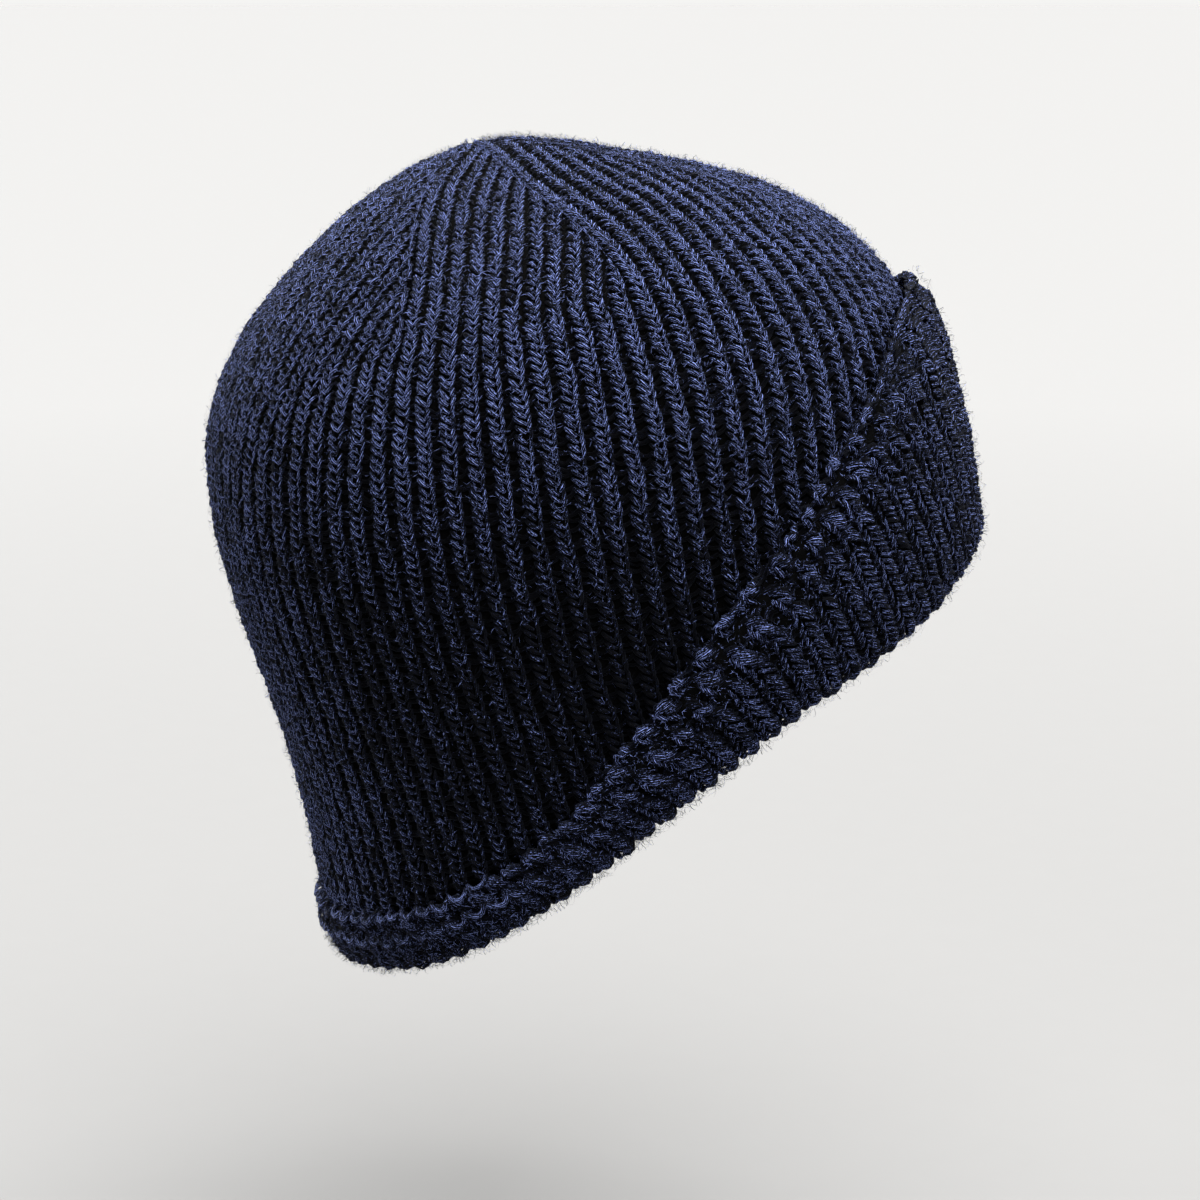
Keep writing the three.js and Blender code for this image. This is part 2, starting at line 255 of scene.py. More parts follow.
def band_point(angle, along, depth, sunk=0.0):
    """Point on the band, at a length along its ribs from the fold and a depth as in the bend."""
    band = band_at(angle)
    angle_step, length_step, _, _ = band_direction(angle)
    share = along / band.width
    low = 2 * (share - 0.5) * (share - 1) * band.low_stand
    middle = 4 * share * (1 - share) * band.mid_stand
    edge = 2 * share * (share - 0.5) * band.edge_stand
    stand = low + middle + edge - band.wall * depth - sunk
    at = angle + angle_step * along
    length = band.fold + length_step * along
    return body_point(at, length) + body_normal(at, length) * stand[..., None]


def bend_length(angle):
    """Length of the bend round its outside."""
    band = band_at(angle)
    return np.pi * (band.wall + band.low_stand + band.tuck) / 2


def turned_length(angle):
    """Length of the turned-up face along a rib, from under the body to the free edge."""
    return bend_length(angle) + band_at(angle).width


def edge_point(angle, past):
    """Point on the crests of the turned-up face, at a length past its free edge.

    Lengths below zero lie on the band and in the bend, those above roll over the edge.
    """
    band = band_at(angle)
    bend = bend_length(angle)
    along = past + bend + band.width
    on_bend = bend_point(angle, np.clip(along / bend, 0, 1) * np.pi, 0.0)
    roll = np.clip(past / (band.wall / 2), 0, np.pi)
    reach = np.clip(along - bend, 0, band.width) + EDGE_ROUND * np.sin(roll) ** 2
    on_band = band_point(angle, reach, (1 - np.cos(roll)) / 2)
    return np.where((along < bend)[..., None], on_bend, on_band)


def lining_point(angle, length):
    """Point on the inner face of the body."""
    tuck, wall = pressed_body(angle, length)
    return body_point(angle, length) - body_normal(angle, length) * (wall + tuck)[..., None]


def outer_point(angle, length):
    """Point on the crests of the outer face, which the band presses in just behind its edge."""
    sunk = band_at(angle).tuck * (1 - smoothstep(above_band(angle, length), *PRESSED))
    return body_point(angle, length) - body_normal(angle, length) * sunk[..., None]


def open_ribs(length):
    """Ribs that a wedge has at a rib length from the pole."""
    share = 1 - (1 - np.clip(length / DECREASE_LENGTH, 0, 1)) ** DECREASE_EASE
    return np.maximum(RIBS_PER_WEDGE * share, 1)


def fold_angle(rib):
    """Angle of a rib below the last decrease. Whole numbers are grooves, halves are crests."""
    return np.radians(WEDGE_START) + 2 * np.pi * rib / RIBS


@dataclass
class Knit:
    """A face of the knit: its surface, and how places on its ribs map to that."""

    surface: object  # function that gives the points at an angle and a length along the ribs
    sign: int  # 1 where the cross product of the surface's tangents points out
    wedged: bool  # whether its ribs are decreased in wedges towards the pole
    face: float
    groove: float = GROOVE
    spread: float = 0.0
    dip: float = DIP

    def angle(self, rib, across, along):
        """Angle at a place across a rib, in ribs from its middle, kept inside its own wedge."""
        if not self.wedged:
            return fold_angle(rib + across)
        wedge = np.floor(rib / RIBS_PER_WEDGE)
        share = (rib - wedge * RIBS_PER_WEDGE + across) / open_ribs(along)
        share = np.where(along < DECREASE_LENGTH, np.clip(share, 0, 1), share)
        return np.radians(WEDGE_START) + 2 * np.pi / WEDGES * (wedge + share)

    def place(self, rib, across, along, stand):
        """Points and normals. across is in ribs, along and stand are in millimetres."""
        if self.wedged:
            along = np.maximum(along, NEAREST_POLE)
        angle = self.angle(rib, across, along)
        around, down = tangents(self.surface, angle, along)
        normal = self.sign * unit(np.cross(down, around))
        return self.surface(angle, along) + normal * stand[..., None], normal

    def pitch(self, rib, along):
        """Width of a rib in millimetres."""
        around, _ = tangents(self.surface, self.angle(rib, 0.0, along), along)
        ribs = open_ribs(along) if self.wedged else RIBS_PER_WEDGE
        return np.linalg.norm(around, axis=-1) * 2 * np.pi / WEDGES / ribs

    def widths(self, rib, along):
        """Width of a rib and half the width of its stitches, in millimetres."""
        pitch = self.pitch(rib, along)[:, None]
        room = np.maximum(pitch - self.groove, LEAST_FACE * pitch)
        wider = self.spread * np.maximum(room - self.face, 0)
        return pitch, (np.minimum(room, self.face) + wider) / 2


OUTER = Knit(outer_point, 1, True, FACE_WIDTH)
LINING = Knit(lining_point, -1, True, FACE_WIDTH)
TURNED = Knit(edge_point, -1, False, BAND_FACE, BAND_GROOVE, BAND_SPREAD, BAND_DIP)


class Wave:
    """Smooth irregularity over rib number and length, from a few waves with seeded phases."""

    def __init__(self, rng, longest, shortest, waves=7):
        size = np.exp(rng.uniform(np.log(shortest), np.log(longest), waves))
        turn = rng.uniform(0, 2 * np.pi, waves)
        self.across = np.cos(turn) / size * 2 * np.pi
        self.along = np.sin(turn) / size * 2 * np.pi
        self.phase = rng.uniform(0, 2 * np.pi, waves)

    def __call__(self, rib, along):
        across = np.multiply.outer(rib * RIB_WIDTH, self.across)
        phase = across + np.multiply.outer(along, self.along) + self.phase
        return np.sin(phase).sum(-1) / math.sqrt(len(self.phase))


class Strands:
    """Collects short lengths of yarn, each a rounded strip on a smooth centre line."""

    def __init__(self):
        self.points, self.faces, self.uvs, self.tones = [], [], [], []
        self.count = 0

    def add(self, centre, normal, side_radius, up_radius, tone, sides=5, opening=200, edge=0.4):
        """centre and normal are (yarns, rings, 3); radii and tone spread over (yarns, rings).

        opening is the arc of the strip in degrees, edge how light its two borders are, as painted
        shade where the strip turns down.
        """
        yarns, rings = centre.shape[:2]
        tone = np.broadcast_to(tone, (yarns, rings))
        tangent = np.gradient(centre, axis=1)
        side = unit(np.cross(tangent, normal))
        up = unit(np.cross(side, tangent))
        turn = np.radians(np.linspace(90 - opening / 2, 90 + opening / 2, sides))
        wide = (side_radius[..., None] * np.cos(turn))[..., None]
        high = (up_radius[..., None] * np.sin(turn))[..., None]
        points = centre[:, :, None] + (side[:, :, None] * wide + up[:, :, None] * high)
        step = np.linalg.norm(np.diff(centre, axis=1), axis=-1)
        run = np.concatenate([np.zeros((yarns, 1)), np.cumsum(step, 1)], 1)
        run = run + rng.uniform(0, UV_SPREAD, (yarns, 1))
        u = np.broadcast_to(run[..., None], points.shape[:3])
        arc = side_radius.mean() * np.radians(opening)
        v = np.broadcast_to(np.linspace(-0.5, 0.5, sides) * arc, points.shape[:3])
        shade = tone[..., None] * (edge + (1 - edge) * np.clip(np.sin(turn), 0, 1) ** 0.7)
        at = np.arange(yarns * rings * sides).reshape(yarns, rings, sides) + self.count
        corners = [at[:, :-1, :-1], at[:, :-1, 1:], at[:, 1:, 1:], at[:, 1:, :-1]]
        self.faces.append(np.stack(corners, -1).reshape(-1, 4))
        self.points.append(points.reshape(-1, 3))
        self.uvs.append(np.stack([u, v], -1).reshape(-1, 2))
        self.tones.append(shade.reshape(-1))
        self.count += at.size

    def piece(self, name):
        parts = (self.points, self.faces, self.uvs, self.tones)
        return make_mesh(name, *(np.concatenate(part) for part in parts), YARN)


def add_object(name, data):
    """Puts an object made of this data in the scene."""
    made = bpy.data.objects.new(name, data)
    bpy.context.scene.collection.objects.link(made)
    return made


def make_mesh(name, points, quads, uvs, tones, material):
    """A mesh piece from quads, in the row frame, with a UV for each point and a tone."""
    mesh = bpy.data.meshes.new(name)
    mesh.vertices.add(len(points))
    mesh.vertices.foreach_set("co", ((points - HEAD_SEAT) / 1000).astype(np.float32).ravel())
    mesh.loops.add(quads.size)
    mesh.loops.foreach_set("vertex_index", quads.astype(np.int32).ravel())
    mesh.polygons.add(len(quads))
    mesh.polygons.foreach_set("loop_start", np.arange(0, quads.size, 4, dtype=np.int32))
    mesh.polygons.foreach_set("loop_total", np.full(len(quads), 4, np.int32))
    mesh.polygons.foreach_set("use_smooth", np.ones(len(quads), bool))
    layer = mesh.uv_layers.new(name="UVMap")
    layer.data.foreach_set("uv", uvs[quads.ravel()].astype(np.float32).ravel())
    colour = mesh.color_attributes.new("tone", "FLOAT_COLOR", "POINT")
    rgba = np.ones((len(points), 4), np.float32)
    rgba[:, :3] = tones[:, None]
    colour.data.foreach_set("color", rgba.ravel())
    mesh.update()
    mesh.validate()
    mesh.materials.append(material)
    piece = add_object(name, mesh)
    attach(piece, "root")
    return piece


# ---- Materials ----
WOOL_BLACK = (0.0002, 0.0002, 0.0003, 1)
WOOL_DARK = (0.0011, 0.0012, 0.0018, 1)
# Yarn colours by how light a spot is: the darkest stops give the painted shade between the plies,
# and the last one is a painted glint.
WOOL_STOPS = [
    (0.02, WOOL_BLACK),
    (0.18, WOOL_DARK),
    (0.52, (0.0048, 0.0060, 0.0124, 1)),
    (0.88, (0.0370, 0.0540, 0.1560, 1)),
    (1.00, (0.2500, 0.3200, 0.7200, 1)),
]
WOOL_SPECULAR = 0.035
PLY_PITCH = 0.56  # width of one ply on the face of the yarn
PLY_TWIST = 9.0  # degrees between a ply and its yarn
PLY_WANDER = 2.2  # how far the plies stray from an even lay, in radians of their pitch
PLY_RIDGE = 4.0  # power that narrows the painted highlight on the ridge of a ply
FIBRES_ACROSS = 5.5  # streaks of fibre in a millimetre across the ply
FIBRES_ALONG = 0.95  # and along it


def new_material(name, roughness, specular):
    """A material with its node tree and its shader."""
    material = bpy.data.materials.new(name)
    material.use_nodes = True
    tree = material.node_tree
    tree.nodes.clear()
    output = tree.nodes.new("ShaderNodeOutputMaterial")
    shader = tree.nodes.new("ShaderNodeBsdfPrincipled")
    tree.links.new(shader.outputs["BSDF"], output.inputs["Surface"])
    shader.inputs["Roughness"].default_value = roughness
    shader.inputs["Specular IOR Level"].default_value = specular
    return material, tree, shader


def node(tree, kind, settings, **inputs):
    """A node with its settings, and its inputs, by name or as i0, i1, set or linked."""
    made = tree.nodes.new(kind)
    for key, value in settings.items():
        setattr(made, key, value)
    for key, value in inputs.items():
        numbered = key[0] == "i" and key[1:].isdigit()
        socket = made.inputs[int(key[1:]) if numbered else key]
        if isinstance(value, bpy.types.NodeSocket):
            tree.links.new(value, socket)
        else:
            socket.default_value = value
    return made


def calc(tree, operation, *values):
    inputs = {f"i{index}": value for index, value in enumerate(values)}
    return node(tree, "ShaderNodeMath", {"operation": operation}, **inputs).outputs[0]


def product(tree, first, *others):
    for value in others:
        first = calc(tree, "MULTIPLY", first, value)
    return first


def noise(tree, place, scale, detail, roughness, flat=False):
    settings = {"noise_dimensions": "2D" if flat else "3D"}
    inputs = {"Vector": place, "Scale": scale, "Detail": detail, "Roughness": roughness}
    return node(tree, "ShaderNodeTexNoise", settings, **inputs).outputs["Fac"]


def stretch(tree, value, low, high, to_low=0.0, to_high=1.0):
    """A value clamped between two limits and spread over another range."""
    limits = {"From Min": low, "From Max": high, "To Min": to_low, "To Max": to_high}
    return node(tree, "ShaderNodeMapRange", {}, Value=value, **limits).outputs[0]


def ramp(tree, factor, stops):
    """Colour from a ramp with a position and a colour for each stop."""
    made = node(tree, "ShaderNodeValToRGB", {}, Fac=factor)
    elements = made.color_ramp.elements
    while len(elements) < len(stops):
        elements.new(0.5)
    for element, (position, colour) in zip(elements, stops):
        element.position = position
        element.color = colour
    return made.outputs["Color"]


def wool_yarn(name):
    """Plied navy yarn: u runs along the yarn and v round it, in millimetres."""
    material, tree, shader = new_material(name, 0.6, WOOL_SPECULAR)
    uv = node(tree, "ShaderNodeUVMap", {"uv_map": "UVMap"}).outputs["UV"]
    split = node(tree, "ShaderNodeSeparateXYZ", {}, i0=uv)
    u, v = split.outputs[0], split.outputs[1]
    sin, cos = math.sin(math.radians(PLY_TWIST)), math.cos(math.radians(PLY_TWIST))
    over = calc(tree, "ADD", product(tree, u, sin), product(tree, v, cos))
    along = calc(tree, "SUBTRACT", product(tree, u, cos), product(tree, v, sin))
    # The plies, as waves across the yarn, and the fibres, as streaks along them.
    wander = product(tree, noise(tree, uv, 0.9, 2.0, 0.5, flat=True), PLY_WANDER)
    phase = calc(tree, "MULTIPLY_ADD", over, 2 * math.pi / PLY_PITCH, wander)
    ply = calc(tree, "MULTIPLY_ADD", calc(tree, "SINE", phase), 0.5, 0.5)
    place = {"i0": product(tree, over, FIBRES_ACROSS), "i1": product(tree, along, FIBRES_ALONG)}
    streak = node(tree, "ShaderNodeCombineXYZ", {}, **place).outputs[0]
    fibre = stretch(tree, noise(tree, streak, 1.0, 3.0, 0.75, flat=True), 0.30, 0.70)
    speckle = stretch(tree, noise(tree, uv, 2.0, 3.0, 0.75, flat=True), 0.34, 0.66)
    tone = node(tree, "ShaderNodeVertexColor", {"layer_name": "tone"}).outputs["Color"]
    tone = node(tree, "ShaderNodeSeparateColor", {}, i0=tone).outputs[0]
    # How light a spot is: a painted highlight on the ridges of the plies and painted shade
    # between them, in a light fibre, in a light patch, times the tone.
    ridge = calc(tree, "MULTIPLY_ADD", calc(tree, "POWER", ply, PLY_RIDGE), 1.32, 0.01)
    strand = product(tree, calc(tree, "POWER", fibre, 1.2), 2.5)
    mottle = calc(tree, "MULTIPLY_ADD", speckle, 1.7, 0.2)
    light = product(tree, ridge, strand, mottle, tone)
    tree.links.new(ramp(tree, light, WOOL_STOPS), shader.inputs["Base Color"])
    height = calc(tree, "MULTIPLY_ADD", ply, 0.6, product(tree, fibre, 0.7))
    bump = node(tree, "ShaderNodeBump", {}, Strength=0.9, Distance=0.0004, Height=height)
    tree.links.new(bump.outputs["Normal"], shader.inputs["Normal"])
    shader.inputs["Sheen Weight"].default_value = 0.02
    shader.inputs["Sheen Roughness"].default_value = 0.5
    shader.inputs["Sheen Tint"].default_value = (0.5, 0.6, 1.0, 1)
    return material


def wool_ground(name):
    """The shaded back of the stitches, seen between them."""
    material, tree, shader = new_material(name, 0.9, 0.05)
    place = node(tree, "ShaderNodeTexCoord", {}).outputs["Object"]
    fibre = noise(tree, place, 900.0, 4.0, 0.7)
    colour = ramp(tree, fibre, [(0.45, WOOL_BLACK), (1.00, WOOL_DARK)])
    tree.links.new(colour, shader.inputs["Base Color"])
    bump = node(tree, "ShaderNodeBump", {}, Strength=0.8, Distance=0.0005, Height=fibre)
    tree.links.new(bump.outputs["Normal"], shader.inputs["Normal"])
    return material


YARN = wool_yarn("navy_wool_yarn")
GROUND = wool_ground("navy_wool_ground")

# ---- Stitches ----
SECTORS = 4  # pieces that the outer knit is made in
BEHIND_BAND = 4.0  # how far its stitches run on behind the band
BARS_FROM = 26.0  # rib length from the pole at which the grooves are open to their purl loops
CROWN_LOOK = (60, 130)  # rib lengths between which the stitches of the crown turn to side ones
COMING_OUT = 0.2  # share of a rib's width that is out where its stitches start
FIRST_SHARE = 0.02  # share of the wedge from which they start
LINING_ROW = 1.15 * ROW
LINING_EXTRA = 0.16  # how much thicker the plain legs of the lining are

# Irregularities of a rib's course, height and tone, by their longest and shortest waves.
rng = np.random.default_rng(SEED)
drift = Wave(rng, 60, 14)
swell = Wave(rng, 40, 9)
patch = Wave(rng, 30, 5)

# The two legs of a stitch: where each starts and ends across the face, in half widths, and along
# it, in rows; its radius, how high its middle stands, how light it is, as painted light and shade
# by the side of the rib that it lies on, and how thick its ends are.
LEG_COLUMNS = "from_across from_row to_across to_row radius rise light ends".split()
LEGS = {
    "crown_left": (-0.98, -0.74, 0.42, 0.60, 0.78, 0.20, 0.76, 0.75),
    "crown_right": (1.00, -0.62, 0.52, 0.46, 0.64, 0.38, 1.08, 0.55),
    "side_left": (-1.00, -0.74, 0.42, 0.62, 0.74, 0.26, 1.10, 0.50),
    "side_right": (0.98, -0.78, 0.60, 0.56, 0.56, 0.36, 1.16, 0.35),
    "band_left": (-1.00, -0.85, -0.55, 0.70, 0.56, 0.34, 1.08, 0.45),
    "band_right": (1.00, -1.15, -0.36, 0.85, 0.70, 0.30, 1.00, 0.60),
}
TIP = 1.42  # how light a leg is where it ends, as painted light towards the middle of its rib
ROUNDING = 0.85  # how much lower the sides of a rib lie than its middle
BOW = 0.12  # how far the middle of a leg bows outwards, in half widths
END_SINK = 0.9  # how much deeper its ends lie than its middle
SPREAD_ACROSS = (0.08, 0.0175)  # spread of its ends in half widths, and more where gathered
SPREAD_ALONG = (0.09, 0.02)  # the same along the rib, in rows
GATHERED_THICKER = 0.15  # share by which it thickens where the rib is gathered
GATHERED_CLOSER = 0.2  # share by which the two legs close up there
STEP = 0.1  # length of rib over which the slope of its path is taken
SEATED = 0.75  # share of its radius that a leg is sunk
FLATTENED = 0.85  # its height by its width
END_LIGHT = 0.62  # how light its ends are by its middle, as painted shade where they sink
# How far drift, swell, patch and chance move a leg, and change its tone and radius.
DRIFT_ACROSS = 0.25
SWELL_UP, CHANCE_UP = 0.18, 0.12
PATCH_TONE, CHANCE_TONE = 0.10, 0.22
CHANCE_RADIUS = 0.10

BAR_RADIUS = 0.5  # of a purl loop
BAR_DEPTH = 2.6  # how far the middle of a loop lies under the crests of the ribs
BAR_BEND = 0.9  # how much higher its ends lie
BAR_REACH = (0.06, 0.3)  # least and most that a loop reaches past the groove's middle, in ribs
PULLED_GAP = (2.2, 4.2)  # width of a groove from which its purl loops come up and close it
PULLED_THICKER = 0.4
# painted shade of the purl loops deep in the grooves, on the cap and in the band
CAP_BARS_LIGHT = 0.18
BAND_BARS_LIGHT = 0.26


def rib_start(rib):
    """Rib length at which a rib comes out from under the edge of its wedge."""
    share = (np.floor(rib % RIBS_PER_WEDGE) + COMING_OUT) / RIBS_PER_WEDGE
    share = np.maximum(share, FIRST_SHARE)
    return DECREASE_LENGTH * (1 - (1 - share) ** (1 / DECREASE_EASE))


def rows_between(ribs, start, end, step):
    """Every rib with every row of it between two lengths, as two flat arrays."""
    rib_list, along_list = [], []
    for rib, low, high in zip(ribs, start, end):
        first, last = math.ceil(low / step - 0.5), math.floor(high / step + 0.5)
        along = (np.arange(first, last) + 0.5) * step
        rib_list.append(np.full(len(along), rib))
        along_list.append(along)
    return np.concatenate(rib_list), np.concatenate(along_list)


def jitter(size, count):
    return rng.normal(0, size, (count, 1))


def straight(rib, along):
    """A rib without any curl: its shift, rise, tone and gathering."""
    return 0.0, 0.0, 1.0, 0.0


def add_leg(strands, knit, rib, along, shape, row, path=straight, lit=1.0, fine=True):
    """One leg of every stitch named by rib and along.

    shape is a row of LEGS, or one for each stitch. path gives how far a rib is moved across and
    outwards at a length along it, in millimetres, how light it is and how far it is gathered.
    """
    count = len(rib)
    shape = np.broadcast_to(shape, (count, len(LEG_COLUMNS))).T[..., None]
    from_across, from_row, to_across, to_row, radius, rise, light, ends = shape
    # the path's painted light and shade, and how far it is gathered
    _, _, path_light, gathered = (np.broadcast_to(x, count)[:, None] for x in path(rib, along))
    rings, sides = (4, 4) if fine else (3, 3)
    pitch, half = knit.widths(rib, along)
    t = np.linspace(0, 1, rings)
    grow = np.sin(np.pi * (0.05 + 0.90 * t)) ** 0.7  # from the ends of the leg to its middle

    # Its line across and along the rib, as straight ribs have it, then moved onto the path.
    spread = SPREAD_ACROSS[0] + SPREAD_ACROSS[1] * gathered
    start_across = from_across + spread * jitter(1.0, count)
    end_across = to_across + spread * jitter(1.0, count)
    spread = SPREAD_ALONG[0] + SPREAD_ALONG[1] * gathered
    start_row = from_row + spread * jitter(1.0, count)
    end_row = to_row + spread * jitter(1.0, count)
    bow = BOW * np.sign(from_across) * np.sin(np.pi * t)
    across = start_across + (end_across - start_across) * t + bow
    sideways = across * half * (1 - GATHERED_CLOSER * gathered)
    sideways = sideways + DRIFT_ACROSS * drift(rib, along)[:, None]
    lengthways = along[:, None] + (start_row + (end_row - start_row) * t) * row
    shift, raised, _, _ = path(rib[:, None], lengthways)
    slope = (path(rib[:, None], lengthways + STEP)[0] - shift) / STEP
    lean = np.sqrt(1 + slope**2)

    # Its thickness and how high it stands.
    radius = radius * (half * 2 / knit.face) ** 0.5 * (1 + CHANCE_RADIUS * jitter(1.0, count))
    radius = radius * (1 + GATHERED_THICKER * gathered)
    rounding = -ROUNDING * np.clip(np.abs(across), 0, 1.3) ** 2.2 * half / 2
    stand = -SEATED * radius + rise + rounding - END_SINK * (1 - grow) + raised
    stand = stand + SWELL_UP * swell(rib, along)[:, None] + CHANCE_UP * jitter(1.0, count)
    across = (sideways / lean + shift) / pitch
    places = knit.place(rib[:, None], across, lengthways - sideways * slope / lean, stand)

    # Its tone: random wear, times painted light and shade from the leg's side of the rib, its
    # place on the hat and its path, darker at its sunk ends and where it starts, lighter where it
    # ends.
    worn = 1 + PATCH_TONE * patch(rib, along)[:, None] + CHANCE_TONE * jitter(1.0, count)
    lit = np.broadcast_to(lit, count)[:, None] * path_light
    tone = light * worn * lit * (END_LIGHT + (1 - END_LIGHT) * grow)
    tone = tone * (knit.dip + (TIP - knit.dip) * t)
    thick = radius * (ends + (1 - ends) * grow)
    strands.add(*places, thick, thick * FLATTENED, tone, sides)


def add_bars(strands, knit, rib, along, row, light, path=straight):
    """The purl loops that cross the groove after each rib, one to a row."""
    count = len(rib)
    shift, raised = (np.broadcast_to(x, count)[:, None] for x in path(rib, along)[:2])
    pitch, half = knit.widths(rib, along)
    reach = np.clip(0.5 - half / pitch, *BAR_REACH) + 0.06
    pulled = smoothstep(pitch - 2 * half, *PULLED_GAP)
    t = np.linspace(-1, 1, 4)
    across = 0.5 + reach * t + shift / pitch
    rows = 0.35 * np.cos(np.pi * t / 2) + jitter(0.3, count) + jitter(0.25, count) * t
    stand = pulled - BAR_DEPTH + BAR_BEND * t**2 + jitter(0.2, count) + np.minimum(raised, 0)
    places = knit.place(rib[:, None], across, along[:, None] + rows * row, stand)
    radius = BAR_RADIUS + PULLED_THICKER * pulled + jitter(0.06, count)
    # painted shade, less where a loop is pulled up out of its groove
    light = np.broadcast_to(light, count)[:, None] * (1 + pulled)
    tone = light * np.exp(jitter(0.5, count) * (1 - 0.5 * pulled))
    strands.add(*places, radius, radius, tone, sides=3, opening=170)


# How much painted shade darkens the outer knit away from its light top, and where each shade
# sets in: between two rib lengths, two depths, or two shares of the way to the front or the back.
SIDE_SHADE, SIDE_LENGTHS = 0.15, (100, 160)
LOW_SHADE, LOW_DEPTHS = 0.58, (55, 134)
NAPE_SPARED, NAPE_BACK = 0.95, (0.42, 0.92)  # share of the low shade that the nape is spared
FRONT_SHADE, FRONT_AHEAD = 0.16, (-0.2, 0.2)  # painted shade low down too, by the wide band
# painted shade on the back of the crown, and the depths between which it lies
CROWN_SHADE, CROWN_BACK = 0.20, (0.2, 0.7)
CROWN_DEPTHS, CROWN_ENDS = (18, 45), (95, 130)


def painted_shading(rib, along):
    """How light the outer knit is at a place along a rib, with its painted shade."""
    angle = OUTER.angle(rib, 0.0, along)
    depth = -outer_point(angle, along)[:, 2]
    ahead = np.cos(angle)
    side = SIDE_SHADE * smoothstep(along, *SIDE_LENGTHS)
    nape = NAPE_SPARED * smoothstep(-ahead, *NAPE_BACK)
    low = LOW_SHADE * (1 - nape) + FRONT_SHADE * smoothstep(ahead, *FRONT_AHEAD)
    low = low * smoothstep(depth, *LOW_DEPTHS)
    crown = smoothstep(depth, *CROWN_DEPTHS) * (1 - smoothstep(depth, *CROWN_ENDS))
    back = CROWN_SHADE * smoothstep(-ahead, *CROWN_BACK) * crown
    return (1 - side) * (1 - low) * (1 - back)


def body_knit():
    """The outer stitches of the crown and sides, in sectors."""
    pieces = []
    per_sector = RIBS // SECTORS
    for sector in range(SECTORS):
        ribs = np.arange(sector * per_sector, (sector + 1) * per_sector) + 0.5
        band = band_at(fold_angle(ribs))
        end = band.fold - band.width + BEHIND_BAND
        rib, along = rows_between(ribs, rib_start(ribs), end, ROW)
        crown = 1 - smoothstep(along, *CROWN_LOOK)[:, None]
        # painted shade of the outer knit, for its legs and, squared, for its purl loops
        lit = painted_shading(rib, along)
        strands = Strands()
        for leg in ("left", "right"):
            side, top = np.array(LEGS[f"side_{leg}"]), np.array(LEGS[f"crown_{leg}"])
            add_leg(strands, OUTER, rib, along, side + (top - side) * crown, ROW, lit=lit)
        grooved = along > BARS_FROM
        light = CAP_BARS_LIGHT * lit[grooved] ** 2
        add_bars(strands, OUTER, rib[grooved], along[grooved], ROW, light)
        pieces.append(strands.piece(f"cap_knit_{sector + 1}"))
    return pieces


def lining_knit():
    """The stitches of the inner face, plainer than the outer ones."""
    ribs = np.arange(RIBS) + 0.5
    end = band_at(fold_angle(ribs)).fold - 1
    rib, along = rows_between(ribs, rib_start(ribs), end, LINING_ROW)
    strands = Strands()
    for leg in ("side_left", "side_right"):
        shape = np.array(LEGS[leg])
        shape[LEG_COLUMNS.index("radius")] += LINING_EXTRA
        add_leg(strands, LINING, rib, along, shape, LINING_ROW, fine=False)
    return strands.piece("cap_lining")


BAND_LIT = 0.50  # how light the band is
CURL = 17.0  # length of the ribs before the free edge that turn back and gather into lumps
CURL_SHARE = 0.9  # most of the band's width that it takes
CURL_SHIFT = 14.0  # how far the curl takes the ribs back at the free edge
CURL_ROW = 0.80 * BAND_ROW  # height of its rows, which are closer
CURL_END = 5.5  # how far past the free edge the stitches roll
STEEPEN = 0.34  # slope by which the ribs run steeper than the fold's mirror up to the curl
LUMP = 8.4  # distance between lumps along a rib
LUMP_RISE = 1.9  # how far they stand up
LUMP_LIGHT = 0.6  # painted highlight on their tops, and painted shade in the pits between them
ZIGZAG = 0.5  # how far a rib swings to either side between its lumps
EDGE_SINK = 0.8  # how far the stitches of the free edge lean in towards the body
RIM_LIGHT = 0.3  # painted highlight on the rolled free edge
NARROW = 12.0  # width of the band up to which its ribs run straight up
WIDE = NARROW + 14  # and from which they curl fully
PURL_SINK = 1.0  # how far the purl columns lie behind the ribs at the front
PURL_WIDTH = 48.0  # width of the band from which they show
# painted shade of the purl columns, which lie deeper
PURL_LIGHT = 0.6


def curl_length(width):
    """Length of the curl in a band of this width."""
    return np.minimum(CURL, CURL_SHARE * width)


